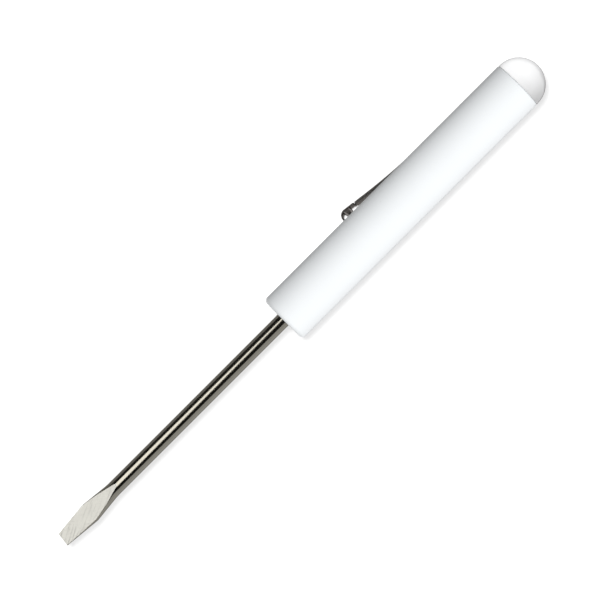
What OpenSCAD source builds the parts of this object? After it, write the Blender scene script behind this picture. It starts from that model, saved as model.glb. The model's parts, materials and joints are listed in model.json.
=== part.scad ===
// Pocket screwdriver with a fixed flat blade, a barrel handle, a domed button cap and a spring pocket clip.
// It lies on a bench, resting on the handle and on the bowl of its clip.
// X runs along the tool towards the cap, Z is up, and the clip is on the +Y side.
// Places along the tool are measured from the handle's front face, where the blade comes out.

/* [Handle] */
// Diameter of the barrel
handle_d = 11.1; // [10:0.1:14]
// Length of the barrel from its front face to its rear face
handle_len = 67.5; // [60:0.5:90]
// Radius of the rounded front edge
front_round = 1.0; // [0.3:0.1:1.6]
// Width of the chamfer round the rear rim
rear_break = 0.2; // [0.1:0.05:0.3]

/* [Blade] */
// Diameter of the round shank
shank_d = 3.175; // [2.5:0.025:3.5]
// Length of the blade in front of the handle
blade_reach = 63.5; // [40:0.5:120]
// Width of the tip's end
tip_w = 2.95; // [2:0.05:3.4]
// Thickness of the tip's end
tip_t = 0.55; // [0.4:0.05:0.9]
// Width across the flare, the widest place of the tip
flare_w = 4.5; // [3.8:0.05:5]
// Distance of the widest place from the tip's end
flare_at = 8.0; // [6:0.1:9.5]
// Distance from the tip's end to where the flare runs out into the shank
flare_end = 14.3; // [12.5:0.1:18]
// Radius that eases the flare into the shank
flare_ease_r = 15; // [5:1:25]
// Radius that eases the corner at the widest place
flare_corner_r = 2.5; // [1:0.5:5]
// Length of the two ground faces
face_len = 16.0; // [13:0.1:20]
// Angle by which the tip's end is ground off square
tip_skew = 6; // [0:0.5:8]
// Turn of the blade's flat about its own axis, away from level
blade_turn = 13; // [0:1:90]

/* [Tang] */
// Length of the blade held inside the handle
tang_len = 27; // [18:0.5:40]
// Width across the pinched wings that stop the blade from turning
wing_span = 4.8; // [4.2:0.1:6]
// Thickness of the bar where it is pinched
wing_t = 1.7; // [1.2:0.1:2.2]
// Length of each pair of wings
wing_len = 4; // [2:0.5:6]
// Distance of the first pair of wings from the front face
wing_at = 8; // [4:0.5:10]
// Step from one pair of wings to the next
wing_step = 9; // [7:0.5:12]
// Number of pairs of wings
wing_pairs = 2; // [1:1:2]
// Chamfer round the buried end of the tang
tang_break = 0.4; // [0.1:0.1:0.8]

/* [Button cap] */
// Diameter of the domed cap
cap_d = 11.0; // [9.5:0.1:14]
// Height of the straight band under the dome
cap_land = 0.35; // [0.25:0.05:2]
// Chamfer round the cap's lower rim
cap_break = 0.15; // [0.05:0.05:0.2]
// Diameter of the flat left on the dome where its moulding gate is trimmed
gate_d = 0.8; // [0.4:0.1:1.5]
// Diameter of the cap's plug
plug_d = 5.4; // [4:0.1:6]
// Length of the cap's plug
plug_len = 9; // [5:0.5:14]
// Number of crush ribs round the plug
plug_ribs = 6; // [3:1:10]
// Height of the crush ribs
rib_h = 0.25; // [0.1:0.05:0.3]
// Width of the crush ribs
rib_w = 0.7; // [0.4:0.1:1]
// Lead-in chamfer at the plug's end
plug_lead = 0.5; // [0.2:0.1:1]

/* [Pocket clip] */
// Thickness of the clip's strip
clip_t = 0.38; // [0.3:0.02:0.5]
// Width of the clip's leaf
clip_w = 1.6; // [1.4:0.1:3]
// Distance of the clip's free end from the rear face
clip_end = 44.4; // [39.5:0.1:57.5]
// Length of the leaf that lies along the barrel, from the rear face
clip_flat = 22; // [12:0.5:24]
// Radius of the bow that lifts the leaf off the barrel
bow_r = 99; // [60:1:140]
// Diameter of the pressed bowl at the free end
bowl_d = 3.7; // [3.2:0.1:4.4]
// Depth of the bowl's rim under the middle of its ball shape
rim_drop = 0.25; // [0.1:0.05:0.5]
// Lean of the bowl towards the handle
bowl_tilt = 4; // [0:1:10]
// Height of the leaf over the bowl's rim at the neck
neck_step = 0.16; // [0:0.02:0.2]
// Width of the neck between leaf and bowl
neck_w = 0.85; // [0.7:0.05:1.4]
// Length of the neck that shows
neck_len = 0.35; // [0.2:0.05:1]
// Length of the slope from leaf width to neck width
shoulder_len = 0.3; // [0.1:0.05:0.6]
// Inside radius of the bend at the root
clip_bend_r = 0.25; // [0.2:0.05:0.35]
// How far the foot reaches in from the barrel's surface
foot_reach = 2.2; // [1.2:0.1:2.4]

/* [Fits] */
// Gap round the moulded-in tang and the pressed plug
press_gap = 0.02; // [0.01:0.01:0.05]
// Gap under the leaf and over the foot
clip_gap = 0.04; // [0.03:0.01:0.1]
// Gap between the bowl and the barrel
bowl_gap = 0.1; // [0.05:0.05:0.4]
// Room at each side of the foot
foot_side_gap = 0.12; // [0.05:0.01:0.3]
// Room under the foot for the clip to flex
foot_play = 0.33; // [0.25:0.01:0.5]
// Room left past the end of the tang, the plug and the foot
end_room = 0.3; // [0.1:0.1:1]

/* [Hidden] */

$fn = 96;
arc_steps = 8;
bow_fn = 256;
overcut = 1;
lap = 0.02;
lap_hair = 0.002;

handle_r = handle_d / 2;
shank_r = shank_d / 2;
cap_r = cap_d / 2;
plug_r = plug_d / 2;
socket_r = plug_r + rib_h + press_gap;
dome_h = sqrt(cap_r * cap_r - gate_d * gate_d / 4);
cap_apex = handle_len + cap_land + dome_h;
tool_len = blade_reach + cap_apex;

// Slopes of the tip's sides, seen on its flat
tip_slope = atan((flare_w - tip_w) / 2 / flare_at);
flare_slope = atan((flare_w - shank_d) / 2 / (flare_end - flare_at));
grind_slope = atan((shank_d - tip_t) / 2 / face_len);
ease_run = flare_ease_r * tan(flare_slope / 2);
corner_run = flare_corner_r * tan((tip_slope + flare_slope) / 2);

// Heights over the barrel's axis, and places along it, of the clip's own features
leaf_in = handle_r + clip_gap;
leaf_out = leaf_in + clip_t;
foot_top = handle_len - clip_gap;
foot_low = foot_top - clip_t;
foot_end = handle_r - foot_reach;
bowl_r = bowl_d / 2;
bowl_at = handle_len - clip_end + bowl_r;
bowl_rho = handle_r + bowl_gap + bowl_r;
rim_r = sqrt(bowl_r * bowl_r - rim_drop * rim_drop);
rim_rho = bowl_rho - rim_drop * cos(bowl_tilt);
shoulder_at = bowl_at + bowl_r + neck_len;

// The bow starts where the leaf leaves the barrel, and runs out straight to the neck
bow_from = handle_len - clip_flat;
bow_run = bow_from - bowl_at - rim_r;
bow_rise = rim_rho + rim_r * sin(bowl_tilt) + neck_step - leaf_out;
neck_dist = norm([bow_run, bow_r - bow_rise]);
bow_angle = atan2(bow_run, bow_r - bow_rise) - acos(min(1, bow_r / neck_dist));
bow_end = bow_from - bow_r * sin(bow_angle);

// At rest the lowest point of the bowl's rim is level with the lowest line of the barrel or cap
rest_r = max(handle_r, cap_r);
rest_roll = asin(rest_r / sqrt(rim_rho * rim_rho + rim_r * rim_r)) - atan(rim_r / rim_rho);
rim_side = rim_r * sqrt(pow(sin(rest_roll), 2) + pow(sin(bowl_tilt) * cos(rest_roll), 2));
clip_side = rim_rho * cos(rest_roll) + rim_side;
axis_x = blade_reach - tool_len / 2;
axis_y = (rest_r - max(clip_side, rest_r)) / 2;

// Places its children on the tool's axis, with their Z along the tool from the front face
module along_tool() {
    translate([axis_x, axis_y, rest_r]) rotate([0, 90, 0]) children();
}

// Turns the flat of the blade about the axis; the children's X lies across the flat, Y stands on it
module on_blade_flat() {
    along_tool() rotate(90 - blade_turn) children();
}

// Places its children in the clip's own plane: X along the tool, Z straight out from the axis
module on_clip_side() {
    translate([axis_x, axis_y, rest_r]) rotate([-90 - rest_roll, 0, 0]) children();
}

// Half section of the barrel: radius across, length up
module barrel_section() {
    translate([0, front_round]) square([handle_r, handle_len - front_round - rear_break]);
    square([handle_r - front_round, handle_len]);
    translate([handle_r - front_round, front_round]) circle(front_round);
    polygon([
        [0, handle_len - rear_break],
        [handle_r, handle_len - rear_break],
        [handle_r - rear_break, handle_len],
        [0, handle_len]
    ]);
}

// Half section of the cap and its plug: radius across, height over the barrel's rear face up
module cap_section() {
    polygon([
        [0, -plug_len],
        [plug_r - plug_lead, -plug_len],
        [plug_r, plug_lead - plug_len],
        [plug_r, 0],
        [cap_r - cap_break, 0],
        [cap_r, cap_break],
        [cap_r, cap_land],
        [0, cap_land]
    ]);
    translate([0, cap_land]) intersection() {
        circle(cap_r);
        square([cap_r, dome_h]);
    }
}

// One crush rib of the plug, its top rounded to the size of the socket
module crush_rib() {
    linear_extrude(height = plug_len - 2 * plug_lead) intersection() {
        square_from(plug_r - rib_h, plug_r + 2 * rib_h, -rib_w / 2, rib_w / 2);
        circle(plug_r + rib_h);
    }
}

// The part of the blade inside the handle, grown by a gap on every side
module tang(gap) {
    difference() {
        union() {
            rotate_extrude() polygon([
                [0, -overcut],
                [shank_r + gap, -overcut],
                [shank_r + gap, tang_len - tang_break],
                [shank_r + gap - tang_break, tang_len + gap],
                [0, tang_len + gap]
            ]);
            for (i = [0 : wing_pairs - 1])
                translate([0, 0, wing_at + i * wing_step]) wing_pair(gap);
        }
        for (i = [0 : wing_pairs - 1], side = [0, 180])
            translate([0, 0, wing_at + i * wing_step]) rotate(side) pinch(gap);
    }
}

// One pair of wings, squeezed out of the bar to both sides
module wing_pair(gap) {
    half = wing_span / 2 + gap;
    rotate([90, 0, 0]) linear_extrude(height = wing_t + 2 * gap, center = true) polygon([
        [-shank_r / 2, -gap],
        [shank_r / 2, -gap],
        [half, wing_len / 4],
        [half, wing_len * 3 / 4],
        [shank_r / 2, wing_len + gap],
        [-shank_r / 2, wing_len + gap],
        [-half, wing_len * 3 / 4],
        [-half, wing_len / 4]
    ]);
}

// The dent that the pinching jaw leaves on one face of the bar
module pinch(gap) {
    translate([-wing_span, wing_t / 2 + gap, wing_len / 4]) cube([2 * wing_span, shank_d, wing_len / 2]);
}

// Half outline of the forged tip and shank: radius across, distance from the tip's end up
module forged_section() {
    corner_y = flare_at - corner_run * cos(tip_slope);
    corner_c = [flare_w / 2 - corner_run * sin(tip_slope) - flare_corner_r * cos(tip_slope),
                corner_y + flare_corner_r * sin(tip_slope)];
    ease_c = [shank_r + flare_ease_r, flare_end + ease_run];
    corner = [for (i = [0 : arc_steps])
        let (a = -tip_slope + (tip_slope + flare_slope) * i / arc_steps)
        corner_c + flare_corner_r * [cos(a), sin(a)]];
    ease = [for (i = [0 : arc_steps])
        let (a = 180 + flare_slope * (1 - i / arc_steps))
        ease_c + flare_ease_r * [cos(a), sin(a)]];
    polygon(concat(
        [[0, 0], [tip_w / 2, 0]],
        corner,
        ease,
        [[shank_r, blade_reach], [0, blade_reach]]
    ));
}

// Everything outside one ground face of the tip; the face rises from the tip's end to the shank's surface
module grind_away() {
    translate([0, tip_t / 2, 0]) rotate([-grind_slope, 0, 0])
        translate([-flare_w, 0, -overcut]) cube([2 * flare_w, flare_w, face_len + 2 * overcut]);
}

// What the off-square grind takes from the tip's end
module skew_away() {
    translate([-tip_w / 2, 0, 0]) rotate([0, -tip_skew, 0])
        translate([-overcut, -flare_w, -2 * overcut]) cube([2 * flare_w, 2 * flare_w, 2 * overcut]);
}

// Side view of the clip's strip: along the tool across, height over the axis up
module clip_profile() {
    // The straight runs lap into the bends, a hair thinner than them, so that all close into one solid
    bend_at = foot_low - clip_bend_r;
    square_from(bow_from - lap, bend_at + lap, leaf_in + lap_hair, leaf_out - lap_hair);
    square_from(foot_low + lap_hair, foot_top - lap_hair, foot_end, leaf_in - clip_bend_r + lap);
    translate([bend_at, leaf_in - clip_bend_r]) intersection() {
        difference() {
            circle(clip_bend_r + clip_t);
            circle(clip_bend_r);
        }
        square(clip_bend_r + clip_t);
    }
    intersection() {
        translate([bow_from, leaf_out + bow_r]) difference() {
            circle(bow_r + clip_t, $fn = bow_fn);
            circle(bow_r, $fn = bow_fn);
        }
        square_from(bow_end, bow_from, 0, 2 * handle_r);
    }
    lap_out = bow_height(bow_r) - lap_hair - lap * tan(bow_angle);
    lap_in = bow_height(bow_r + clip_t) + lap_hair - lap * tan(bow_angle);
    lift = (bow_end + lap - bowl_at) * tan(bow_angle);
    polygon([
        [bow_end + lap, lap_in],
        [bow_end + lap, lap_out],
        [bowl_at, lap_out + lift],
        [bowl_at, lap_in + lift]
    ]);
}

// Height over the axis, where the bow ends, of its face with the given radius
function bow_height(r) = leaf_out + bow_r - sqrt(r * r - pow(bow_from - bow_end, 2));

// A rectangle given by its ends across and up
module square_from(x0, x1, y0, y1) {
    translate([x0, y0]) square([x1 - x0, y1 - y0]);
}

// Plan of the clip's strip, with the neck that carries the bowl
module clip_plan() {
    polygon([
        [bowl_at, -neck_w / 2],
        [shoulder_at, -neck_w / 2],
        [shoulder_at + shoulder_len, -clip_w / 2],
        [handle_len, -clip_w / 2],
        [handle_len, clip_w / 2],
        [shoulder_at + shoulder_len, clip_w / 2],
        [shoulder_at, neck_w / 2],
        [bowl_at, neck_w / 2]
    ]);
}

// Places its children at the middle of the bowl's ball shape, leaning with it
module in_bowl() {
    translate([bowl_at, 0, bowl_rho]) rotate([0, -bowl_tilt, 0]) children();
}

// The pressed bowl, open outwards, with its round side to the handle
module bowl() {
    in_bowl() difference() {
        sphere(bowl_r);
        bowl_hollow();
        translate([-bowl_d, -bowl_d, -rim_drop]) cube([2 * bowl_d, 2 * bowl_d, bowl_d]);
    }
}

// The hollow that the press leaves in the bowl
module bowl_hollow() {
    sphere(bowl_r - clip_t);
}

// Room that the clip's foot lies in, up to a height over the barrel's rear face
module foot_room(over) {
    half = clip_w / 2 + foot_side_gap;
    depth = clip_t + clip_gap + foot_play;
    translate([handle_len - depth, -half, foot_end - end_room])
        cube([depth + over, 2 * half, foot_reach + end_room + overcut]);
}

module handle() {
    color("white") difference() {
        along_tool() rotate_extrude() barrel_section();
        on_blade_flat() tang(press_gap);
        along_tool() translate([0, 0, handle_len - plug_len - end_room])
            cylinder(r = socket_r, h = plug_len + end_room + overcut);
        on_clip_side() foot_room(overcut);
    }
}

module blade() {
    color("silver") on_blade_flat() {
        difference() {
            translate([0, 0, -blade_reach]) rotate_extrude() forged_section();
            for (side = [0, 180])
                translate([0, 0, -blade_reach]) rotate(side) grind_away();
            translate([0, 0, -blade_reach]) skew_away();
        }
        intersection() {
            tang(0);
            translate([-wing_span, -wing_span, 0]) cube([2 * wing_span, 2 * wing_span, tang_len]);
        }
    }
}

module button_cap() {
    color("white") difference() {
        along_tool() translate([0, 0, handle_len]) {
            rotate_extrude() cap_section();
            for (i = [0 : plug_ribs - 1])
                rotate(360 * i / plug_ribs) translate([0, 0, 2 * plug_lead - plug_len]) crush_rib();
        }
        on_clip_side() foot_room(-clip_gap / 2);
    }
}

module pocket_clip() {
    color("dimgray") on_clip_side() {
        difference() {
            intersection() {
                rotate([90, 0, 0]) linear_extrude(height = clip_w, center = true) clip_profile();
                linear_extrude(height = 2 * handle_d) clip_plan();
            }
            in_bowl() bowl_hollow();
        }
        bowl();
    }
}

handle();
blade();
button_cap();
pocket_clip();
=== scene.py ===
"""Pocket screwdriver: white barrel handle, plated flat blade, domed button cap and spring pocket clip.

Laid out as an add-on and run as a script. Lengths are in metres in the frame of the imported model.
"""
import json
import math

import bmesh
import bpy
from bpy.props import FloatProperty, FloatVectorProperty, IntProperty, PointerProperty
from mathutils import Matrix, Vector


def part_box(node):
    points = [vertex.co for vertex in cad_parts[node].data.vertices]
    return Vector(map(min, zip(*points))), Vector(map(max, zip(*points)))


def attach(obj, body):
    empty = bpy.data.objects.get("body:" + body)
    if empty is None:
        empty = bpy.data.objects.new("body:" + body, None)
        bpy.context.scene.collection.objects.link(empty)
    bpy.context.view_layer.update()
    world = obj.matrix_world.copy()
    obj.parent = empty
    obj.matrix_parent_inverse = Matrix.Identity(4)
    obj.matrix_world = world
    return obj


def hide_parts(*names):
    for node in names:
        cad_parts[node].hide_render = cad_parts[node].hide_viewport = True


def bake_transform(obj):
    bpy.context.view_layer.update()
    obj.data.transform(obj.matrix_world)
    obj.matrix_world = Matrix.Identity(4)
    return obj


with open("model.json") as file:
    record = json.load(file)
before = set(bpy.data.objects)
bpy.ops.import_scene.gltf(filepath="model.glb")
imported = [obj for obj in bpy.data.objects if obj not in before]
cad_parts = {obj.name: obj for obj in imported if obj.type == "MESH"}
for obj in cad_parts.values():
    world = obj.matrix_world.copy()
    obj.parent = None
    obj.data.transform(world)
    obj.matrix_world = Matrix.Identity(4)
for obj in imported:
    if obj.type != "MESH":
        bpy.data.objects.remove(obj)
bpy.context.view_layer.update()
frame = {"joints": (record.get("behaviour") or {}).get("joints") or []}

bl_info = {
    "name": "Pocket screwdriver",
    "version": (1, 0, 0),
    "blender": (4, 5, 0),
    "location": "View3D > Sidebar > Screwdriver",
    "description": "Dresses the packed pocket screwdriver and sets up its studio",
    "category": "Add Mesh",
}

MM = 0.001
ZERO = Vector((0, 0, 0))
ALONG = Vector((1, 0, 0))
ACROSS = Vector((0, 1, 0))
UP = Vector((0, 0, 1))

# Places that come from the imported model
BARREL_LOW, BARREL_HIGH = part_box("handle")
FRONT_X = BARREL_LOW.x
BARREL_LEN = round(BARREL_HIGH.x - BARREL_LOW.x, 6)
BARREL_DIAMETER = round(BARREL_HIGH.z - BARREL_LOW.z, 5)
AXIS_Y = (BARREL_LOW.y + BARREL_HIGH.y) / 2
AXIS_Z = (BARREL_LOW.z + BARREL_HIGH.z) / 2
BLADE_REACH = round(FRONT_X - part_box("blade")[0].x, 6)
HINGE = frame["joints"][0]
CLIP_OUT = ALONG.cross(Vector(HINGE["axis"])).normalized()
CLIP_ACROSS = CLIP_OUT.cross(ALONG)

# Fineness of the meshes
ROUND_STEPS = 160
BOWL_STEPS = 64
BOWL_RINGS = 20
WELD = 0.001 * MM


def length(name, description, default):
    return FloatProperty(name=name, description=description, default=default, unit="LENGTH", precision=5)


def angle(name, description, degrees):
    return FloatProperty(name=name, description=description, default=math.radians(degrees), subtype="ANGLE")


def colour(name, description, rgb):
    return FloatVectorProperty(
        name=name, description=description, default=(*rgb, 1.0), size=4, min=0, max=1, subtype="COLOR"
    )


def share(name, description, default):
    return FloatProperty(name=name, description=description, default=default, min=0, max=1, subtype="FACTOR")


class BarrelSettings(bpy.types.PropertyGroup):
    """Sizes and finish of the handle's barrel"""

    diameter: length("Diameter", "Diameter of the barrel", BARREL_DIAMETER)
    long: length("Length", "Length from the front face to the rear face", BARREL_LEN)
    front_round: length("Front round", "Radius of the rounded front edge", 1.0 * MM)
    rear_break: length("Rear break", "Width of the chamfer round the rear rim", 0.2 * MM)
    tang_bore: length("Tang bore", "Diameter of the bore for the tang", 3.215 * MM)
    tang_depth: length("Tang depth", "Depth of the bore for the tang", 27.02 * MM)
    socket: length("Socket", "Diameter of the socket for the cap's plug", 5.94 * MM)
    socket_depth: length("Socket depth", "Depth of the socket for the cap's plug", 9.3 * MM)
    notch_width: length("Notch width", "Width of the notch for the clip's foot", 1.84 * MM)
    notch_depth: length("Notch depth", "Depth of the notch from the rear face", 0.75 * MM)
    notch_floor: length("Notch floor", "Distance of the notch's inner end from the axis", 3.05 * MM)
    plastic: colour("Plastic", "Colour of the barrel's plastic", (0.90, 0.925, 0.94))
    roughness: share("Roughness", "Roughness of the barrel's plastic", 0.34)
    gloss: share("Gloss", "Strength of the barrel's gloss", 0.3)


class BladeSettings(bpy.types.PropertyGroup):
    """Sizes and finish of the blade"""

    shank: length("Shank", "Diameter of the round shank", 3.175 * MM)
    reach: length("Reach", "Length of the blade in front of the handle", BLADE_REACH)
    tip_width: length("Tip width", "Width of the tip's end", 2.95 * MM)
    tip_thickness: length("Tip thickness", "Thickness of the tip's end", 0.55 * MM)
    flare: length("Flare", "Width across the widest place of the tip", 4.5 * MM)
    flare_at: length("Flare at", "Distance of the widest place from the tip's end", 8.0 * MM)
    flare_end: length("Flare end", "Distance from the tip's end to where the flare runs out", 14.3 * MM)
    ease: length("Ease", "Radius that eases the flare into the shank", 15 * MM)
    corner: length("Corner", "Radius that eases the corner at the widest place", 2.5 * MM)
    round_in: length("Round in", "Length over which the flare's edges turn round", 0.6 * MM)
    face: length("Face", "Length of the two ground faces", 16.0 * MM)
    skew: angle("Skew", "Angle by which the tip's end is ground off square", 6)
    turn: angle("Turn", "Turn of the blade's flat away from level", 13)
    burr: length("Burr", "Width of the broken edge round the ground faces", 0.015 * MM)
    tang: length("Tang", "Length of the blade inside the handle", 27 * MM)
    tang_lead: length("Tang lead", "Chamfer at the end of the tang", 0.4 * MM)
    wing_span: length("Wing span", "Width across the wings on the tang", 4.8 * MM)
    wing_thickness: length("Wing thickness", "Thickness of the wings on the tang", 1.7 * MM)
    wing_length: length("Wing length", "Length of each pair of wings", 4 * MM)
    wing_at: length("Wing at", "Distance of the first wings from the front face", 8 * MM)
    wing_step: length("Wing step", "Step from one pair of wings to the next", 9 * MM)
    wing_pairs: IntProperty(name="Wing pairs", description="Number of pairs of wings", default=2, min=1)
    plating: colour("Plating", "Colour of the plated shank", (0.215, 0.205, 0.178))
    ground: colour("Ground steel", "Colour of the bare ground faces", (0.64, 0.636, 0.602))


class CapSettings(bpy.types.PropertyGroup):
    """Sizes and finish of the button cap"""

    diameter: length("Diameter", "Diameter of the domed cap", 11.0 * MM)
    land: length("Land", "Height of the straight band under the dome", 0.35 * MM)
    rim_break: length("Rim break", "Chamfer round the cap's lower rim", 0.15 * MM)
    gate: length("Gate", "Diameter of the flat left on the dome", 0.8 * MM)
    plug: length("Plug", "Diameter of the plug", 5.4 * MM)
    plug_length: length("Plug length", "Length of the plug", 9 * MM)
    plug_lead: length("Plug lead", "Lead-in chamfer at the plug's end", 0.5 * MM)
    ribs: IntProperty(name="Ribs", description="Number of crush ribs round the plug", default=6, min=3)
    rib_height: length("Rib height", "Height of the crush ribs", 0.25 * MM)
    rib_width: length("Rib width", "Width of the crush ribs", 0.7 * MM)
    plastic: colour("Plastic", "Colour of the cap's plastic", (0.93, 0.93, 0.935))
    roughness: share("Roughness", "Roughness of the cap's plastic", 0.22)
    gloss: share("Gloss", "Strength of the cap's gloss", 0.55)


class ClipSettings(bpy.types.PropertyGroup):
    """Sizes and finish of the pocket clip"""

    thickness: length("Thickness", "Thickness of the strip", 0.38 * MM)
    width: length("Width", "Width of the leaf", 1.6 * MM)
    gap: length("Gap", "Gap under the leaf and over the foot", 0.12 * MM)
    bend: length("Bend", "Inside radius of the bend at the root", 0.25 * MM)
    foot: length("Foot", "How far the foot reaches in from the barrel's surface", 2.2 * MM)
    flat: length("Flat", "Length of the leaf that lies along the barrel", 22 * MM)
    end: length("End", "Distance of the free end from the rear face", 44.4 * MM)
    bow: length("Bow", "Radius of the bow that lifts the leaf off the barrel", 99 * MM)
    lift: length("Lift", "Height of the strip's outside over the barrel where it starts to curl", 2.71 * MM)
    curl: length("Curl", "Outside radius of the curl at the free end", 1.5 * MM)
    curl_from: length("Curl from", "Distance of the curl's start from the free end", 1.63 * MM)
    curl_turn: angle("Curl turn", "How far the free end is curled", 105)
    tip: length("Tip", "Length over which the free end tapers", 2.2 * MM)
    tip_least: length("Tip least", "Half width that the taper ends in", 0.1 * MM)
    tip_round: share("Tip round", "Power that rounds the outline of the taper", 0.9)
    pad: length("Pad", "Width of the pressed end", 1.2 * MM)
    neck: length("Neck", "Width of the neck", 0.7 * MM)
    neck_length: length("Neck length", "Length of the neck", 0.32 * MM)
    neck_at: length("Neck at", "Distance of the neck from the free end", 3.90 * MM)
    neck_dip: length("Neck dip", "How far the neck lies under the leaf", 0.14 * MM)
    neck_step: length("Neck step", "Height of the pressed end over the leaf", 0.20 * MM)
    shoulder: length("Shoulder", "Length of the slope at each end of the neck", 0.10 * MM)
    bowl: length("Bowl", "Length of the pressed bowl", 1.9 * MM)
    bowl_width: length("Bowl width", "Width of the pressed bowl", 1.05 * MM)
    bowl_at: length("Bowl at", "Distance of the bowl's middle from the free end", 1.95 * MM)
    bowl_gap: length("Bowl gap", "Gap between the bowl and the barrel", 0.15 * MM)
    bowl_wall: share("Bowl wall", "Wall of the bowl, as a share of the strip's thickness", 0.7)
    bowl_flare: share("Bowl flare", "Extra width of the bowl's foot, as a share of the bowl's width", 0.18)
    bowl_foot: length("Bowl foot", "Height of the bowl's flared foot", 0.35 * MM)
    edge: length("Edge", "Radius of the stamped edges", 0.07 * MM)
    flexing: length("Flexing", "Length of the leaf, from its root, that bends as the clip opens", 18 * MM)
    steel: colour("Steel", "Colour of the spring steel", (0.29, 0.282, 0.274))


class StageSettings(bpy.types.PropertyGroup):
    """Camera, floor and light of the studio"""

    camera_x: length("Camera X", "Place of the camera along the tool", 0.368 * MM)
    camera_y: length("Camera Y", "Place of the camera across the tool, from its axis", 0.43 * MM)
    camera_height: length("Camera height", "Height of the camera over the tool's axis", 870 * MM)
    seen: length("Seen", "Width of the picture at the tool's axis", 122.2 * MM)
    roll: angle("Roll", "Turn of the camera about its own axis", -45)
    floor_half: length("Floor half", "Half the width of the floor", 4.0)
    floor_drop: length("Floor drop", "How far the floor lies under the tool", 0.02 * MM)
    floor_tint: colour("Floor", "Colour of the floor", (0.5, 0.5, 0.5))
    floor_glow: share("Floor glow", "Strength of the floor's own white, where it shows", 0.61)
    ambient: share("Ambient", "Strength of the light from all round", 0.40)


GROUPS = {
    "driver_barrel": BarrelSettings,
    "driver_blade": BladeSettings,
    "driver_cap": CapSettings,
    "driver_clip": ClipSettings,
    "driver_stage": StageSettings,
}


# Node helpers


def node(tree, kind, **settings):
    """A new node; settings that name an input set its value, and the others are the node's own."""
    made = tree.nodes.new(kind)
    for key, value in settings.items():
        if key in made.inputs:
            made.inputs[key].default_value = value
        else:
            setattr(made, key, value)
    return made


def feed(tree, sockets, values):
    """Gives each socket its value: another node's output, or a plain one."""
    for socket, value in zip(sockets, values):
        if isinstance(value, bpy.types.NodeSocket):
            tree.links.new(value, socket)
        else:
            socket.default_value = value


def maths(tree, operation, *values):
    made = node(tree, "ShaderNodeMath", operation=operation)
    feed(tree, made.inputs, values)
    return made.outputs[0]


# Geometry node trees


def shape_tree(name, inputs):
    """A new geometry node tree: the tree, the outputs of its first node and the inputs of its last."""
    tree = bpy.data.node_groups.new(name, "GeometryNodeTree")
    for label, kind in (*inputs, ("Material", "Material")):
        tree.interface.new_socket(label, in_out="INPUT", socket_type="NodeSocket" + kind)
    tree.interface.new_socket("Geometry", in_out="OUTPUT", socket_type="NodeSocketGeometry")
    return tree, node(tree, "NodeGroupInput").outputs, node(tree, "NodeGroupOutput").inputs


def lathe_tree():
    """Turns the polyline of a mesh, drawn in X and Y, about a line along X."""
    kept = bpy.data.node_groups.get("Lathe")
    if kept:
        return kept
    inputs = (("Profile", "Geometry"), ("Segments", "Int"), ("Axis", "Vector"))
    tree, source, result = shape_tree("Lathe", inputs)
    link = tree.links.new
    size = node(tree, "GeometryNodeAttributeDomainSize")
    link(source["Profile"], size.inputs["Geometry"])
    count = size.outputs["Point Count"]
    columns = node(tree, "FunctionNodeIntegerMath", operation="ADD")
    feed(tree, columns.inputs, (source["Segments"], 1))
    grid = node(tree, "GeometryNodeMeshGrid")
    link(columns.outputs[0], grid.inputs["Vertices X"])
    link(count, grid.inputs["Vertices Y"])
    index = node(tree, "GeometryNodeInputIndex").outputs[0]
    row = node(tree, "FunctionNodeIntegerMath", operation="MODULO")
    column = node(tree, "FunctionNodeIntegerMath", operation="DIVIDE_FLOOR")
    for made in (row, column):
        feed(tree, made.inputs, (index, count))
    sample = node(tree, "GeometryNodeSampleIndex", data_type="FLOAT_VECTOR")
    link(source["Profile"], sample.inputs["Geometry"])
    link(node(tree, "GeometryNodeInputPosition").outputs[0], sample.inputs["Value"])
    link(row.outputs[0], sample.inputs["Index"])
    part = maths(tree, "DIVIDE", column.outputs[0], source["Segments"])
    swing = node(tree, "ShaderNodeVectorRotate", rotation_type="X_AXIS")
    link(sample.outputs["Value"], swing.inputs["Vector"])
    link(maths(tree, "MULTIPLY", part, 2 * math.pi), swing.inputs["Angle"])
    move = node(tree, "ShaderNodeVectorMath", operation="ADD")
    feed(tree, move.inputs, (swing.outputs[0], source["Axis"]))
    place = node(tree, "GeometryNodeSetPosition")
    link(grid.outputs["Mesh"], place.inputs["Geometry"])
    link(move.outputs[0], place.inputs["Position"])
    weld = node(tree, "GeometryNodeMergeByDistance", Distance=WELD)
    link(place.outputs[0], weld.inputs["Geometry"])
    finish_tree(tree, weld.outputs[0], source, result)
    return tree


def repeat_tree():
    """Copies a mesh along a line, each copy turned about X from the one before."""
    kept = bpy.data.node_groups.get("Repeat")
    if kept:
        return kept
    inputs = (
        ("Shape", "Geometry"), ("Count", "Int"), ("Start", "Vector"), ("Step", "Float"), ("Turn", "Float"),
    )
    tree, source, result = shape_tree("Repeat", inputs)
    link = tree.links.new
    index = node(tree, "GeometryNodeInputIndex").outputs[0]
    apart, swung = node(tree, "ShaderNodeCombineXYZ"), node(tree, "ShaderNodeCombineXYZ")
    for name, target in (("Step", apart), ("Turn", swung)):
        link(maths(tree, "MULTIPLY", index, source[name]), target.inputs["X"])
    move = node(tree, "ShaderNodeVectorMath", operation="ADD")
    feed(tree, move.inputs, (source["Start"], apart.outputs[0]))
    points = node(tree, "GeometryNodePoints")
    link(source["Count"], points.inputs["Count"])
    link(move.outputs[0], points.inputs["Position"])
    copies = node(tree, "GeometryNodeInstanceOnPoints")
    link(points.outputs[0], copies.inputs["Points"])
    link(source["Shape"], copies.inputs["Instance"])
    link(swung.outputs[0], copies.inputs["Rotation"])
    finish_tree(tree, copies.outputs[0], source, result)
    return tree


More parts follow.
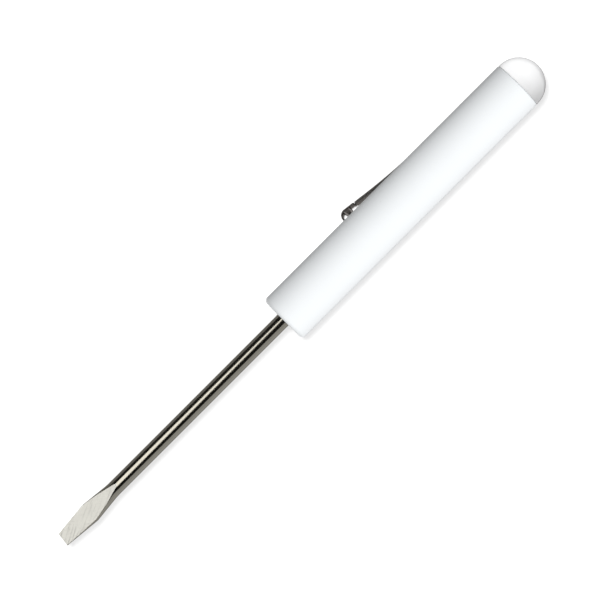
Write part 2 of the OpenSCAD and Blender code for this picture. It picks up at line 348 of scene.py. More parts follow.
def finish_tree(tree, shape, source, result):
    """Ends a tree in smooth shading, real geometry and its material."""
    smooth = node(tree, "GeometryNodeSetShadeSmooth")
    real = node(tree, "GeometryNodeRealizeInstances")
    dress = node(tree, "GeometryNodeSetMaterial")
    tree.links.new(shape, smooth.inputs["Geometry"])
    tree.links.new(smooth.outputs[0], real.inputs[0])
    tree.links.new(real.outputs[0], dress.inputs["Geometry"])
    tree.links.new(source["Material"], dress.inputs["Material"])
    tree.links.new(dress.outputs[0], result["Geometry"])


# Mesh helpers


def add_object(name, data):
    made = bpy.data.objects.new(name, data)
    bpy.context.scene.collection.objects.link(made)
    return made


def solid_mesh(obj):
    """The evaluated mesh of a scratch object, which is then removed."""
    bpy.context.view_layer.update()
    graph = bpy.context.evaluated_depsgraph_get()
    mesh = bpy.data.meshes.new_from_object(obj.evaluated_get(graph), depsgraph=graph)
    bpy.data.objects.remove(obj)
    return mesh


def run_tree(mesh, tree, **values):
    """Runs a geometry node tree on a mesh and returns the plain mesh that it makes."""
    scratch = add_object("scratch", mesh)
    modifier = scratch.modifiers.new("shape", "NODES")
    modifier.node_group = tree
    for socket in tree.interface.items_tree:
        if socket.in_out == "INPUT" and socket.name in values:
            modifier[socket.identifier] = values[socket.name]
    made = solid_mesh(scratch)
    made.materials.clear()
    made.materials.append(values["Material"])
    return made


def turned(points, material, segments=ROUND_STEPS, axis=(0, AXIS_Y, AXIS_Z)):
    """A solid turned about the tool's axis from points of (place along it, radius)."""
    mesh = bpy.data.meshes.new("profile")
    edges = [(i, i + 1) for i in range(len(points) - 1)]
    mesh.from_pydata([(x, r, 0) for x, r in points], edges, [])
    made = run_tree(mesh, lathe_tree(), Segments=segments, Axis=axis, Material=material)
    return outward(made)


def outward(mesh):
    """Turns a closed mesh's faces to point outwards."""
    work = bmesh.new()
    work.from_mesh(mesh)
    return closed_mesh(work, mesh)


def closed_mesh(work, mesh):
    """Ends work on a closed mesh, with its faces pointing outwards."""
    bmesh.ops.recalc_face_normals(work, faces=work.faces)
    work.to_mesh(mesh)
    work.free()
    return mesh


def boolean(mesh, other, operation):
    """Joins a mesh with another or cuts the other out of it."""
    scratch, tool = add_object("scratch", mesh), add_object("tool", other)
    modifier = scratch.modifiers.new("boolean", "BOOLEAN")
    modifier.operation, modifier.object, modifier.solver = operation, tool, "EXACT"
    made = solid_mesh(scratch)
    bpy.data.objects.remove(tool)
    return made


def box_mesh(centre, axes, half):
    """A closed box about a point, with half sizes along three axes."""
    work = bmesh.new()
    bmesh.ops.create_cube(work, size=2)
    turn = Matrix([a * h for a, h in zip(axes, half)]).transposed().to_4x4()
    bmesh.ops.transform(work, matrix=Matrix.Translation(centre) @ turn, verts=work.verts)
    return closed_mesh(work, bpy.data.meshes.new("box"))


def arc(centre, radius, start, end, steps):
    """Points of an arc, from one angle in degrees to another."""
    turns = [math.radians(start + (end - start) * i / steps) for i in range(steps + 1)]
    return [(centre[0] + radius * math.cos(a), centre[1] + radius * math.sin(a)) for a in turns]


def stations(start, end, steps):
    """Even steps from start to end, without start itself."""
    return [start + (end - start) * i / steps for i in range(1, steps + 1)]


def eased(x, start, end):
    """0 at start and 1 at end, with a smooth rise between."""
    along = min(1, max(0, (x - start) / (end - start)))
    return along * along * (3 - 2 * along)


def finished(name, mesh, sharp=30):
    """The piece's object, smooth but for its real edges and the flat faces of a second material."""
    mesh.name = name
    mesh.set_sharp_from_angle(angle=math.radians(sharp))
    for polygon in mesh.polygons:
        polygon.use_smooth = polygon.material_index == 0
    return add_object(name, mesh)


# Shader node groups


def shader_group(name, inputs, output):
    """A new shader group: the group, the outputs of its first node and the inputs of its last."""
    tree = bpy.data.node_groups.new(name, "ShaderNodeTree")
    for label, kind, value in inputs:
        socket = tree.interface.new_socket(label, in_out="INPUT", socket_type="NodeSocket" + kind)
        socket.default_value = value
    tree.interface.new_socket(output, in_out="OUTPUT", socket_type="NodeSocketFloat")
    return tree, node(tree, "NodeGroupInput").outputs, node(tree, "NodeGroupOutput").inputs


def mottle_group():
    """Slow change over the surface, as in moulded plastic or rolled steel."""
    kept = bpy.data.node_groups.get("Mottle")
    if kept:
        return kept
    inputs = (("Vector", "Vector", ZERO), ("Scale", "Float", 200))
    tree, source, result = shader_group("Mottle", inputs, "Value")
    noise = node(tree, "ShaderNodeTexNoise", Detail=4.0, Roughness=0.55)
    for name in ("Vector", "Scale"):
        tree.links.new(source[name], noise.inputs[name])
    tree.links.new(noise.outputs["Fac"], result["Value"])
    return tree


def speck_group():
    """Small scattered specks of dust or pitting."""
    kept = bpy.data.node_groups.get("Specks")
    if kept:
        return kept
    inputs = (("Vector", "Vector", ZERO), ("Scale", "Float", 900), ("Size", "Float", 0.16))
    tree, source, result = shader_group("Specks", inputs, "Mask")
    cells = node(tree, "ShaderNodeTexVoronoi")
    for name in ("Vector", "Scale"):
        tree.links.new(source[name], cells.inputs[name])
    split = node(tree, "ShaderNodeSeparateColor")
    tree.links.new(cells.outputs["Color"], split.inputs[0])
    size = maths(tree, "MULTIPLY", split.outputs[0], source["Size"])
    near = maths(tree, "LESS_THAN", cells.outputs["Distance"], size)
    empty_share = 0.7
    few = maths(tree, "GREATER_THAN", split.outputs[1], empty_share)
    tree.links.new(maths(tree, "MULTIPLY", near, few), result["Mask"])
    return tree


def streak_group():
    """Fine lines along a direction, as drawing, polishing or grinding leaves them."""
    kept = bpy.data.node_groups.get("Streaks")
    if kept:
        return kept
    inputs = (
        ("Vector", "Vector", ZERO),
        ("Stretch", "Vector", (60, 6000, 6000)),
        ("Turn", "Vector", ZERO),
        ("Wander", "Float", 0.4),
    )
    tree, source, result = shader_group("Streaks", inputs, "Value")
    aim = node(tree, "ShaderNodeMapping")
    tree.links.new(source["Vector"], aim.inputs["Vector"])
    tree.links.new(source["Turn"], aim.inputs["Rotation"])
    scaled = node(tree, "ShaderNodeVectorMath", operation="MULTIPLY")
    feed(tree, scaled.inputs, (aim.outputs[0], source["Stretch"]))
    noise = node(tree, "ShaderNodeTexNoise", Scale=1.0, Detail=3.0, Roughness=0.6)
    tree.links.new(scaled.outputs[0], noise.inputs["Vector"])
    tree.links.new(source["Wander"], noise.inputs["Distortion"])
    tree.links.new(noise.outputs["Fac"], result["Value"])
    return tree


# Materials


def material(name):
    """A new material, its tree and its Principled shader."""
    made = bpy.data.materials.new(name)
    made.use_nodes = True
    return made, made.node_tree, made.node_tree.nodes["Principled BSDF"]


def own_place(tree):
    """The piece's own coordinates, on which its patterns lie."""
    return node(tree, "ShaderNodeTexCoord").outputs["Object"]


def use_group(tree, group, vector, **values):
    made = node(tree, "ShaderNodeGroup", node_tree=group)
    tree.links.new(vector, made.inputs["Vector"])
    for key, value in values.items():
        made.inputs[key].default_value = value
    return made.outputs[0]


def ramp(tree, value, low, high):
    """0 below low and 1 above high, or the other way round."""
    made = node(tree, "ShaderNodeMapRange", clamp=True)
    made.inputs["From Min"].default_value, made.inputs["From Max"].default_value = low, high
    tree.links.new(value, made.inputs["Value"])
    return made.outputs["Result"]


def blended(tree, amount, first, second):
    """The first colour where amount is 0 and the second where it is 1."""
    made = node(tree, "ShaderNodeMix", data_type="RGBA")
    tree.links.new(amount, made.inputs["Factor"])
    colours_in, colour_out = (made.inputs[6], made.inputs[7]), made.outputs[2]
    feed(tree, colours_in, (first, second))
    return colour_out


def dimmed(rgba, factor):
    return (*[c * factor for c in rgba[:3]], 1.0)


def set_plain(shader, values):
    """Sets what is the same all over the surface on the shader's own sockets."""
    for key, value in values.items():
        shader.inputs[key].default_value = value


def bumped(tree, shader, height, strength, distance):
    bump = node(tree, "ShaderNodeBump", Strength=strength, Distance=distance)
    tree.links.new(height, bump.inputs["Height"])
    tree.links.new(bump.outputs[0], shader.inputs["Normal"])


def steel_finish(tree, shader, tone, lines, change, least):
    """Gives steel its tone, and a roughness that changes with the lines on it."""
    tree.links.new(tone, shader.inputs["Base Color"])
    tree.links.new(maths(tree, "MULTIPLY_ADD", lines, change, least), shader.inputs["Roughness"])
    set_plain(shader, {"Metallic": 1.0})


def plastic_material(name, rgba, roughness, specular):
    """Moulded white plastic: faint flow marks, soft orange peel, hairline scuffs and a little dust."""
    made, tree, shader = material(name)
    place = own_place(tree)
    flow = use_group(tree, mottle_group(), place, Scale=160)
    peel = use_group(tree, mottle_group(), place, Scale=2600)
    scuff = use_group(
        tree, streak_group(), place, Stretch=(220, 5200, 5200), Turn=(0.5, 0.3, 0.4), Wander=1.2
    )
    dust = use_group(tree, speck_group(), place, Scale=420, Size=0.05)
    dust_grey = (0.45, 0.43, 0.40, 1.0)
    tone = blended(tree, flow, dimmed(rgba, 0.985), dimmed(rgba, 1.01))
    scuffed = maths(tree, "MULTIPLY", ramp(tree, scuff, 0.68, 0.76), 0.10)
    tone = blended(tree, scuffed, tone, dimmed(rgba, 0.75))
    tone = blended(tree, maths(tree, "MULTIPLY", dust, 0.14), tone, dust_grey)
    tree.links.new(tone, shader.inputs["Base Color"])
    dull = maths(tree, "MULTIPLY_ADD", flow, 0.10, roughness - 0.05)
    tree.links.new(maths(tree, "ADD", scuffed, dull), shader.inputs["Roughness"])
    set_plain(shader, {"IOR": 1.5, "Specular IOR Level": specular})
    bumped(tree, shader, peel, 0.12, 0.02 * MM)
    return made


def plated_material(rgba):
    """Bright plating over drawn bar: lengthwise polish lines, fine pits and a slight change of tone."""
    made, tree, shader = material("plated_steel")
    place = own_place(tree)
    lines = use_group(tree, streak_group(), place, Stretch=(45, 5200, 5200), Wander=0.2)
    cloud = use_group(tree, mottle_group(), place, Scale=240)
    pits = use_group(tree, speck_group(), place, Scale=1500, Size=0.2)
    tone = blended(tree, cloud, dimmed(rgba, 0.93), dimmed(rgba, 1.06))
    tone = blended(tree, maths(tree, "MULTIPLY", pits, 0.45), tone, dimmed(rgba, 0.35))
    steel_finish(tree, shader, tone, lines, 0.10, 0.08)
    set_plain(shader, {"Specular Tint": (0.45, 0.45, 0.45, 1.0)})
    bumped(tree, shader, lines, 0.10, 0.01 * MM)
    return made


def ground_material(rgba, turn, tip):
    """Bare steel off the grinding wheel: scratches a little off the blade's line, more near the worn tip."""
    made, tree, shader = material("ground_steel")
    place = own_place(tree)

    def scratches(degrees, stretch, wander):
        aim = (turn, 0, math.radians(degrees))
        return use_group(tree, streak_group(), place, Stretch=stretch, Turn=aim, Wander=wander)

    along = node(tree, "ShaderNodeSeparateXYZ")
    tree.links.new(place, along.inputs[0])
    near_tip = ramp(tree, along.outputs["X"], tip + 5 * MM, tip + 1 * MM)
    worn = maths(tree, "MULTIPLY_ADD", near_tip, 0.7, 0.3)
    fine = scratches(-20, (260, 7000, 7000), 0.5)
    coarse = scratches(-26, (150, 2600, 2600), 0.8)
    cross = scratches(38, (260, 2400, 2400), 1.0)
    cloud = use_group(tree, mottle_group(), place, Scale=420)
    tone = blended(tree, cloud, dimmed(rgba, 0.94), dimmed(rgba, 1.05))
    tone = blended(tree, ramp(tree, fine, 0.30, 0.72), dimmed(rgba, 0.86), tone)
    for lines, low, high, dark in ((coarse, 0.53, 0.66, 0.52), (cross, 0.58, 0.72, 0.55)):
        deep = maths(tree, "MULTIPLY", ramp(tree, lines, low, high), worn)
        tone = blended(tree, deep, tone, dimmed(rgba, dark))
    steel_finish(tree, shader, tone, fine, 0.22, 0.42)
    bumped(tree, shader, maths(tree, "ADD", fine, coarse), 0.25, 0.012 * MM)
    return made


def spring_material(rgba):
    """Dark spring steel: lengthwise rolling lines, warmer patches, rubbed streaks and fine pits."""
    made, tree, shader = material("spring_steel")
    place = own_place(tree)
    lines = use_group(tree, streak_group(), place, Stretch=(90, 4200, 4200), Wander=0.3)
    cloud = use_group(tree, mottle_group(), place, Scale=520)
    pits = use_group(tree, speck_group(), place, Scale=1800, Size=0.25)
    warm = (rgba[0] * 1.08, rgba[1] * 0.99, rgba[2] * 0.97, 1.0)
    tone = blended(tree, cloud, dimmed(rgba, 0.82), warm)
    rubbed = maths(tree, "MULTIPLY", ramp(tree, lines, 0.5, 0.8), 0.3)
    tone = blended(tree, rubbed, tone, dimmed(rgba, 1.5))
    tone = blended(tree, maths(tree, "MULTIPLY", pits, 0.5), tone, dimmed(rgba, 0.4))
    steel_finish(tree, shader, tone, lines, 0.18, 0.20)
    bumped(tree, shader, lines, 0.15, 0.01 * MM)
    return made


# Pieces


def barrel_mesh(s, plastic):
    """The barrel with its rounded nose, its bores and the notch for the clip's foot."""
    r, rear = s.diameter / 2, FRONT_X + s.long
    bore, socket = s.tang_bore / 2, s.socket / 2
    straight = FRONT_X + s.front_round
    points = [
        (FRONT_X + s.tang_depth, 0),
        (FRONT_X + s.tang_depth, bore),
        (FRONT_X, bore),
        *arc((straight, r - s.front_round), s.front_round, 180, 90, steps=14),
        *[(x, r) for x in stations(straight, rear - s.rear_break, steps=40)],
        (rear - 0.3 * s.rear_break, r - 0.45 * s.rear_break),
        (rear, r - s.rear_break),
        (rear, socket),
        (rear - s.socket_depth, socket),
        (rear - s.socket_depth, 0),
    ]
    clear_of_barrel = 1 * MM
    inner, outer = s.notch_floor, r + clear_of_barrel
    middle = Vector((rear, AXIS_Y, AXIS_Z)) + CLIP_OUT * (inner + outer) / 2
    half = (s.notch_depth, s.notch_width / 2, (outer - inner) / 2)
    notch = box_mesh(middle, (ALONG, CLIP_ACROSS, CLIP_OUT), half)
    return boolean(turned(points, plastic), notch, "DIFFERENCE")


def cap_mesh(s, plastic):
    """The domed cap on its plug, with the crush ribs that hold it in the barrel."""
    r, plug = s.diameter / 2, s.plug / 2
    seat = FRONT_X + BARREL_LEN
    dome = seat + s.land
    top = math.degrees(math.asin(s.gate / 2 / r))
    points = [
        (seat - s.plug_length, 0),
        (seat - s.plug_length, plug - s.plug_lead),
        (seat - s.plug_length + s.plug_lead, plug),
        (seat, plug),
        (seat, r - s.rim_break),
        (seat + 0.3 * s.rim_break, r - 0.3 * s.rim_break),
        (seat + s.rim_break, r),
        *arc((dome, 0), r, 90, top, steps=56),
        (dome + r * math.cos(math.radians(top)), 0),
    ]
    body = turned(points, plastic)
    long = s.plug_length - 2 * s.plug_lead
    half = (long / 2, s.rib_height, s.rib_width / 2)
    rib = box_mesh(Vector((0, plug, 0)), (ALONG, ACROSS, UP), half)
    start = Vector((seat - long / 2, AXIS_Y, AXIS_Z))
    apart = 2 * math.pi / s.ribs
    ribs = run_tree(
        rib, repeat_tree(), Count=s.ribs, Start=start, Step=0.0, Turn=apart, Material=plastic
    )
    return boolean(body, ribs, "UNION")


def blade_axes(s):
    """Directions across the blade's flat and out of it."""
    out = Vector((0, math.sin(s.turn), math.cos(s.turn)))
    return Vector((0, math.cos(s.turn), -math.sin(s.turn))), out


def forged_points(s):
    """Half outline of the blade before it is ground, from the tip to the end of the tang."""
    tip, r = FRONT_X - s.reach, s.shank / 2
    lean = math.atan((s.flare - s.tip_width) / 2 / s.flare_at)
    fall = math.atan((s.flare - s.shank) / 2 / (s.flare_end - s.flare_at))
    run = s.corner * math.tan((lean + fall) / 2)
    start = tip + s.flare_at - run * math.cos(lean)
    corner = (
        start + s.corner * math.sin(lean),
        s.flare / 2 - run * math.sin(lean) - s.corner * math.cos(lean),
    )
    ease = (tip + s.flare_end + s.ease * math.tan(fall / 2), r + s.ease)
    nose = [tip, *stations(tip, start, steps=16)[:-1]]
    end, slope = FRONT_X + s.tang, math.tan(lean)
    lean, fall = math.degrees(lean), math.degrees(fall)
    return [
        (tip, 0),
        *[(x, s.tip_width / 2 + (x - tip) * slope) for x in nose],
        *arc(corner, s.corner, 90 + lean, 90 - fall, steps=12),
        *arc(ease, s.ease, 270 - fall, 270, steps=12),
        *[(x, r) for x in stations(ease[0], FRONT_X, steps=30)],
        (end - s.tang_lead, r),
        (end, r - s.tang_lead),
        (end, 0),
    ]


def spread(s, mesh, across, out):
    """Gives the flare, behind its widest place, the round edges that the bar had before it was spread."""
    widest, runout = FRONT_X - s.reach + s.flare_at, FRONT_X - s.reach + s.flare_end
    full_by = 4  # the whole shift is reached at a quarter of the half width
    for vertex in mesh.vertices:
        x = vertex.co.x
        if widest < x < runout + s.ease:
            side = vertex.co - Vector((x, AXIS_Y, AXIS_Z))
            w, n, wide = side.dot(across), side.dot(out), side.length
            amount = min(1, (x - widest) / s.round_in)
            edge = wide + (min(wide, s.shank / 2) - wide) * amount
            shift = (wide - edge) * max(-1, min(1, full_by * w / wide))
            side = across * (shift + edge * w / wide) + out * edge * n / wide
            vertex.co = Vector((x, AXIS_Y, AXIS_Z)) + side


def grind(s, mesh, across, out):
    """Cuts the two ground faces and the off-square end, closes them and breaks their edges."""
    tip = Vector((FRONT_X - s.reach, AXIS_Y, AXIS_Z))
    slope = math.atan((s.shank - s.tip_thickness) / 2 / s.face)
    planes = [
        (tip + side * out * s.tip_thickness / 2, side * out * math.cos(slope) - ALONG * math.sin(slope))
        for side in (1, -1)
    ]
    planes.append((tip - across * s.tip_width / 2, across * math.sin(s.skew) - ALONG * math.cos(s.skew)))
    work = bmesh.new()
    work.from_mesh(mesh)
    for point, normal in planes:
        parts = [*work.verts, *work.edges, *work.faces]
        cut = bmesh.ops.bisect_plane(
            work, geom=parts, dist=1e-8, plane_co=point, plane_no=normal, clear_outer=True
        )
        rim = [e for e in cut["geom_cut"] if isinstance(e, bmesh.types.BMEdge)]
        filled = bmesh.ops.edgeloop_fill(work, edges=rim, mat_nr=1)
        if not filled["faces"]:
            raise RuntimeError("a ground face of the blade could not be closed")
    scratch = add_object("scratch", closed_mesh(work, mesh))
    broken = scratch.modifiers.new("broken_edge", "BEVEL")
    broken.width, broken.segments, broken.angle_limit = s.burr, 2, math.radians(25)
    broken.offset_type, broken.miter_outer = "OFFSET", "MITER_SHARP"
    return solid_mesh(scratch)


def wing_mesh(s, across, out):
    """One pair of the wings that are pinched out of the tang, from its front end."""
    half, root, end = s.wing_span / 2, s.shank / 4, s.wing_length
    outline = [
        (0, -root), (0, root), (end / 4, half), (end * 3 / 4, half),
        (end, root), (end, -root), (end * 3 / 4, -half), (end / 4, -half),
    ]
    wing = bmesh.new()
    base = [wing.verts.new(ALONG * x + across * y - out * s.wing_thickness / 2) for x, y in outline]
    raised = bmesh.ops.extrude_face_region(wing, geom=[wing.faces.new(base)])
    lifted = [v for v in raised["geom"] if isinstance(v, bmesh.types.BMVert)]
    bmesh.ops.translate(wing, verts=lifted, vec=out * s.wing_thickness)
    return closed_mesh(wing, bpy.data.meshes.new("wing"))


def blade_mesh(s, plated, ground):
    """The forged blade with its ground tip, and the wings on its tang."""
    across, out = blade_axes(s)
    mesh = turned(forged_points(s), plated)
    spread(s, mesh, across, out)
    mesh.materials.append(ground)
    mesh = grind(s, mesh, across, out)
    start = Vector((FRONT_X + s.wing_at, AXIS_Y, AXIS_Z))
    wings = run_tree(
        wing_mesh(s, across, out), repeat_tree(),
        Count=s.wing_pairs, Start=start, Step=s.wing_step, Turn=0.0, Material=plated,
    )
    return boolean(mesh, wings, "UNION")


def clip_path(s):
    """Points along the middle of the clip's strip, from its foot to its curled end.

    Each holds the place along the barrel, the height over the tool's axis and half the strip's width.
    """
    r, t = BARREL_DIAMETER / 2, s.thickness
    mid = s.bend + t / 2
    out = r + s.gap + t / 2
    foot_x, foot_low = BARREL_LEN - s.gap - t / 2, r - s.foot
    bend = (foot_x - mid, out - mid)
    free = BARREL_LEN - s.end
    bow_x, curl_x = BARREL_LEN - s.flat, free + s.curl_from
    rise, run = s.lift - s.neck_step - s.gap - t, bow_x - curl_x
    far = math.hypot(run, s.bow - rise)
    sweep = math.atan2(run, s.bow - rise) - math.acos(min(1, s.bow / far))
    slope = math.degrees(sweep)

    # Foot, bend, flat leaf and bow
    path = [(foot_x, h) for h in (foot_low, *stations(foot_low, bend[1], steps=6)[:-1])]
    path += arc(bend, mid, 0, 90, steps=10)
    path += [(x, out) for x in stations(bend[0], bow_x, steps=12)[:-1]]
    path += arc((bow_x, out + t / 2 + s.bow), s.bow + t / 2, 270, 270 - slope, steps=40)

    # Straight run with the dipped neck and the raised pad
    last_x, last_height = path[-1]
    neck_front = free + s.neck_at
    neck_back = neck_front + s.neck_length
    pad_x, leaf_x = neck_front - s.shoulder, neck_back + s.shoulder

    def height_at(x):
        dip = s.neck_dip * (1 - eased(x, neck_back, leaf_x))
        step = (s.neck_dip + s.neck_step) * (1 - eased(x, pad_x, neck_front))
        return last_height + (last_x - x) * math.tan(sweep) - dip + step

    marks = stations(last_x, leaf_x, steps=10) + stations(leaf_x, neck_back, steps=5)
    marks += stations(neck_back, neck_front, steps=3) + stations(neck_front, pad_x, steps=5)
    marks += stations(pad_x, curl_x, steps=8)[:-1]
    path += [(x, height_at(x)) for x in marks]

    # Curled end
    radius = s.curl - t / 2
    centre = (curl_x - radius * math.sin(sweep), height_at(curl_x) - radius * math.cos(sweep))
    path += arc(centre, radius, 90 - slope, 90 - slope + math.degrees(s.curl_turn), steps=24)

    # Half widths, taken from the free end back
    left, halves = 0.0, []
    for point, after in zip(reversed(path), [path[-1], *reversed(path)]):
        left += math.dist(point, after)
        width = s.neck + (s.width - s.neck) * eased(point[0], neck_back, leaf_x)
        width += (s.pad - s.neck) * (1 - eased(point[0], pad_x, neck_front))
        rounded = (1 - (1 - min(1, left / s.tip)) ** 2) ** s.tip_round
        halves.append(max(s.tip_least, width / 2 * rounded))
    return [(x, h, half) for (x, h), half in zip(path, reversed(halves))]


def clip_point(along, height):
    return Vector((FRONT_X + along, AXIS_Y, AXIS_Z)) + CLIP_OUT * height


def strip_mesh(s, steel):
    """The clip's strip, swept along its path with rounded stamped edges."""
    path = clip_path(s)
    t, e, edge_steps = s.thickness / 2, s.edge, 4
    work = bmesh.new()
    rings = []
    for i, (x, h, half) in enumerate(path):
        before, after = path[max(0, i - 1)], path[min(len(path) - 1, i + 1)]
        ahead = Vector((after[0] - before[0], after[1] - before[1])).normalized()
        lift = CLIP_OUT * -ahead.x + ALONG * ahead.y
        section = []
        for cx, cy, start in ((1, 1, 0), (-1, 1, 90), (-1, -1, 180), (1, -1, 270)):
            section += arc((cx * (half - e), cy * (t - e)), e, start, start + 90, edge_steps)
        rings.append([work.verts.new(clip_point(x, h) + CLIP_ACROSS * a + lift * b) for a, b in section])
    for first, second in zip(rings, rings[1:]):
        for j, vert in enumerate(first):
            k = (j + 1) % len(first)
            work.faces.new((vert, first[k], second[k], second[j]))
    work.faces.new(rings[0])
    work.faces.new(reversed(rings[-1]))
    mesh = closed_mesh(work, bpy.data.meshes.new("strip"))
    mesh.materials.append(steel)
    return mesh


def bowl_mesh(s, steel, wall):
    """The bowl that is pressed out of the clip's end: all of it with no wall, or else its hollow."""
    x, path = BARREL_LEN - s.end + s.bowl_at, clip_path(s)
    before, after = [p for p in path if p[0] > x][-1], [p for p in path if p[0] <= x][0]
    part = (before[0] - x) / (before[0] - after[0])
    height = before[1] + (after[1] - before[1]) * part
    deep = height - BARREL_DIAMETER / 2 - s.bowl_gap - wall
    flare = 0.0 if wall else s.bowl_flare
    points = [(-wall, 0), (-wall, 1 + flare)]
    for i in range(BOWL_RINGS):
        a = math.radians(90 * i / BOWL_RINGS)
        down = deep * math.sin(a)
        points.append((down, math.cos(a) + flare * max(0, 1 - down / s.bowl_foot) ** 2))
    points.append((deep, 0))
    mesh = turned(points, steel, BOWL_STEPS, axis=ZERO)
    half = (s.bowl / 2 - wall, s.bowl_width / 2 - wall)
    turn = Matrix((-CLIP_OUT, ALONG * half[0], CLIP_ACROSS * half[1])).transposed().to_4x4()
    mesh.transform(Matrix.Translation(clip_point(x, height)) @ turn)
    return outward(mesh)


class SCREWDRIVER_OT_barrel(bpy.types.Operator):
    """Makes the white barrel of the handle"""

    bl_idname = "screwdriver.make_barrel"
    bl_label = "Barrel"

    def execute(self, context):
        s = context.scene.driver_barrel
        plastic = plastic_material("barrel_plastic", s.plastic, s.roughness, s.gloss)
        piece = finished("Barrel", barrel_mesh(s, plastic))
        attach(piece, "tool")
        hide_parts("handle")
        return {"FINISHED"}


class SCREWDRIVER_OT_blade(bpy.types.Operator):
    """Makes the plated blade with its ground tip"""

    bl_idname = "screwdriver.make_blade"
    bl_label = "Blade"

    def execute(self, context):
        s = context.scene.driver_blade
        ground = ground_material(s.ground, s.turn, FRONT_X - s.reach)
        piece = finished("Blade", blade_mesh(s, plated_material(s.plating), ground), sharp=22)
        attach(piece, "tool")
        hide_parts("blade")
        return {"FINISHED"}


class SCREWDRIVER_OT_cap(bpy.types.Operator):
    """Makes the domed button cap with its ribbed plug"""

    bl_idname = "screwdriver.make_cap"
    bl_label = "Button cap"

    def execute(self, context):
        s = context.scene.driver_cap
        plastic = plastic_material("button_plastic", s.plastic, s.roughness, s.gloss)
        piece = finished("Button_cap", cap_mesh(s, plastic))
        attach(piece, "tool")
        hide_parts("button_cap")
        return {"FINISHED"}


class SCREWDRIVER_OT_clip(bpy.types.Operator):
    """Makes the spring pocket clip with its pressed bowl"""

    bl_idname = "screwdriver.make_clip"
    bl_label = "Pocket clip"

    def execute(self, context):
        s = context.scene.driver_clip
        steel = spring_material(s.steel)
        mesh = boolean(strip_mesh(s, steel), bowl_mesh(s, steel, 0.0), "UNION")
        mesh = boolean(mesh, bowl_mesh(s, steel, s.thickness * s.bowl_wall), "DIFFERENCE")
        piece = finished("Pocket_clip", mesh, sharp=40)
        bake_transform(piece)
        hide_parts("pocket_clip")
        return {"FINISHED"}


# Stage


def level(x, y, z):
    """Corners of a level rectangle, from its ends along X, its ends along Y and its height."""
    return [(x[0], y[0], z), (x[1], y[0], z), (x[1], y[1], z), (x[0], y[1], z)]


def upright(x, y, z):
    """Corners of an upright rectangle, from its ends along X, its place along Y and its ends along Z."""
    return [(x[0], y, z[0]), (x[1], y, z[0]), (x[1], y, z[1]), (x[0], y, z[1])]


def panel(name, corners, finish):
    """A flat panel of the studio."""
    mesh = bpy.data.meshes.new(name)
    mesh.from_pydata(corners, [], [tuple(range(len(corners)))])
    mesh.materials.append(finish)
    made = add_object(name, mesh)
    return made


def card(name, corners, finish, lit=None):
    """A panel that shows in gloss alone: on the given pieces, or on all of them."""
    made = panel(name, corners, finish)
    made.visible_camera = made.visible_diffuse = made.visible_transmission = False
    made.visible_volume_scatter = made.visible_shadow = False
    if lit:
        lit_only(made, lit)


def lamp(name, place, aim, size, power, lit):
    """A soft square lamp that lights the given pieces and doesn't show in gloss."""
    data = bpy.data.lights.new(name, "AREA")
    data.shape, data.size, data.energy = "SQUARE", size, power
    made = add_object(name, data)
    made.location = place
    made.rotation_euler = (Vector(aim) - Vector(place)).to_track_quat("-Z", "Y").to_euler()
    made.visible_glossy = False
    lit_only(made, lit)


def lit_only(light, pieces):
    """Lets a light reach the given pieces alone."""
    group = bpy.data.collections.new(light.name + "_lights")
    for piece in pieces:
        group.objects.link(piece)
    light.light_linking.receiver_collection = group


def seen_rays(tree):
    """1 for rays that show the background: from the camera, off gloss or through glass."""
    path = node(tree, "ShaderNodeLightPath")
    both = maths(tree, "MAXIMUM", path.outputs["Is Camera Ray"], path.outputs["Is Glossy Ray"])
    return maths(tree, "MAXIMUM", both, path.outputs["Is Transmission Ray"])


def floor_material(tint, glow):
    """Pale floor: mostly its own white for what shows it, with enough lamp light on it to keep a shadow."""
    made, tree, shader = material("studio_floor")
    set_plain(shader, {"Base Color": tint, "Roughness": 0.9, "Specular IOR Level": 0.0})
    set_plain(shader, {"Emission Color": (1, 1, 1, 1)})
    tree.links.new(maths(tree, "MULTIPLY", seen_rays(tree), glow), shader.inputs["Emission Strength"])
    return made


def card_material(name, rgb, strength):
    """A dull card with a slightly warm light of its own."""
    made, _, shader = material(name)
    set_plain(shader, {"Base Color": (*rgb, 1.0), "Roughness": 1.0, "Specular IOR Level": 0.0})
    set_plain(shader, {"Emission Color": (1.0, 0.985, 0.95, 1.0), "Emission Strength": strength})
    return made


def hang_cards(blade, clip):
    """Hangs what the gloss of the pieces shows: a dark room, a strip light, grey cards low down, and a dark
    sheet of painted shade under the barrel.
    """
    reach, side = (-1.2, 1.2), 1.50
    top, wall_foot, canopy_back = 1.40, 0.10, -1.62
    black, brown = (0.012, 0.011, 0.009), (0.12, 0.115, 0.105)
    dark = card_material("dark_card", black, 0.022)
    card("Dark_canopy", level(reach, (canopy_back, side), top), dark)
    card("Dark_wall", upright(reach, side, (wall_foot, top)), dark)

    strip_height = 1.30
    outline = (
        (-0.60, -0.16), (-0.60, 1.12), (-0.138, 1.12), (-0.013, 0.60),
        (0.30, 0.52), (0.30, 0.40), (-0.013, 0.30), (-0.138, -0.16),
    )
    white = card_material("strip_white", (0.8, 0.8, 0.8), 3.85)
    card("Strip_light", [(x, y, strip_height) for x, y in outline], white, [blade])

    grey_from, grey_height = 9 * MM, 0.3 * MM
    grey = card_material("grey_card", (0, 0, 0), 0.5)
    card("Grey_card", level(reach, (grey_from, side), grey_height), grey)

    # Painted shade: a dark sheet under the barrel and cap stands in, in their gloss, for the shaded floor
    # beneath them. For the clip alone it glows dimly as a light in its gloss.
    shade_mat_long = (FRONT_X, BARREL_HIGH.x + 20 * MM)
    shade_mat_wide, shade_mat_height = (AXIS_Y - 8.5 * MM, AXIS_Y + 12.5 * MM), 0.6 * MM
    card("Dark_mat", level(shade_mat_long, shade_mat_wide, shade_mat_height), card_material("mat", brown, 0.40), [clip])

    before_wall, clip_card_top = 0.02, 1.0
    corners = upright(reach, side - before_wall, (wall_foot, clip_card_top))
    card("Clip_card", corners, card_material("clip_card", brown, 0.25), [clip])


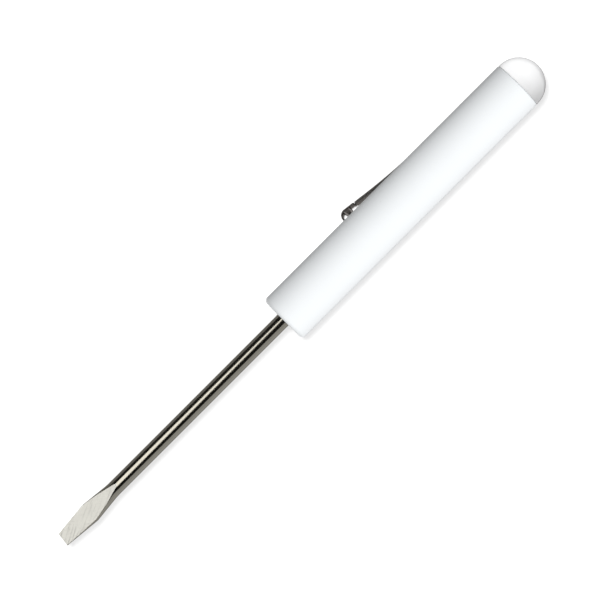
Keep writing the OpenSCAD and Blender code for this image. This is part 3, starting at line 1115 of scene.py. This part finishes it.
class SCREWDRIVER_OT_stage(bpy.types.Operator):
    """Sets up the floor, the lamps, the reflected cards and the camera"""

    bl_idname = "screwdriver.set_stage"
    bl_label = "Stage"

    def execute(self, context):
        scene = context.scene
        s = scene.driver_stage
        scene.view_settings.view_transform = "Standard"
        names = ("Barrel", "Blade", "Button_cap", "Pocket_clip")
        barrel, blade, cap, clip = [bpy.data.objects[name] for name in names]

        wide = (-s.floor_half, s.floor_half)
        floor = panel("Floor", level(wide, wide, 0), floor_material(s.floor_tint, s.floor_glow))
        floor.location.z = -s.floor_drop
        hang_cards(blade, clip)

        on_cap = (0.07, 0, 0)
        lamp("Key", (0.03, -0.43, 1.12), aim=(0.03, 0, 0), size=0.5, power=10.4, lit=[barrel])
        lamp("Cap_key", (0.34, 0.40, 0.97), aim=on_cap, size=0.35, power=7.4, lit=[cap])
        lamp("Cap_rim", (0.90, 0.55, 0.40), aim=on_cap, size=0.35, power=1.7, lit=[cap])
        lamp("Floor_lamp", (0.0, 0.24, 1.18), aim=ZERO, size=0.26, power=11.5, lit=[floor])

        scene.world = bpy.data.worlds.new("Studio")
        scene.world.use_nodes = True
        tree = scene.world.node_tree
        back = tree.nodes["Background"]
        back.inputs["Color"].default_value = (1, 1, 1, 1)
        strength = maths(tree, "MULTIPLY_ADD", seen_rays(tree), 1.0 - s.ambient, s.ambient)
        tree.links.new(strength, back.inputs["Strength"])

        data = bpy.data.cameras.new("Camera")
        data.sensor_width = 36.0
        data.lens = data.sensor_width * s.camera_height / s.seen
        data.clip_start, data.clip_end = 0.01, 50.0
        camera = add_object("Camera", data)
        camera.location = (s.camera_x, AXIS_Y + s.camera_y, AXIS_Z + s.camera_height)
        camera.rotation_euler = (0, 0, s.roll)
        scene.camera = camera
        return {"FINISHED"}


class SCREWDRIVER_PT_sidebar(bpy.types.Panel):
    """Lists the screwdriver's pieces and their settings"""

    bl_label = "Pocket screwdriver"
    bl_idname = "SCREWDRIVER_PT_sidebar"
    bl_space_type = "VIEW_3D"
    bl_region_type = "UI"
    bl_category = "Screwdriver"

    def draw(self, context):
        for operator, (name, group) in zip(OPERATORS, GROUPS.items()):
            box = self.layout.box()
            box.operator(operator.bl_idname)
            for key in group.__annotations__:
                box.prop(getattr(context.scene, name), key)


OPERATORS = (
    SCREWDRIVER_OT_barrel,
    SCREWDRIVER_OT_blade,
    SCREWDRIVER_OT_cap,
    SCREWDRIVER_OT_clip,
    SCREWDRIVER_OT_stage,
)
CLASSES = (*GROUPS.values(), *OPERATORS, SCREWDRIVER_PT_sidebar)


def register():
    for made in CLASSES:
        bpy.utils.register_class(made)
    for name, group in GROUPS.items():
        setattr(bpy.types.Scene, name, PointerProperty(type=group))


def unregister():
    for name in GROUPS:
        delattr(bpy.types.Scene, name)
    for made in reversed(CLASSES):
        bpy.utils.unregister_class(made)


def main():
    register()
    for operator in OPERATORS:
        area, name = operator.bl_idname.split(".")
        getattr(getattr(bpy.ops, area), name)()


if __name__ == "__main__":
    main()
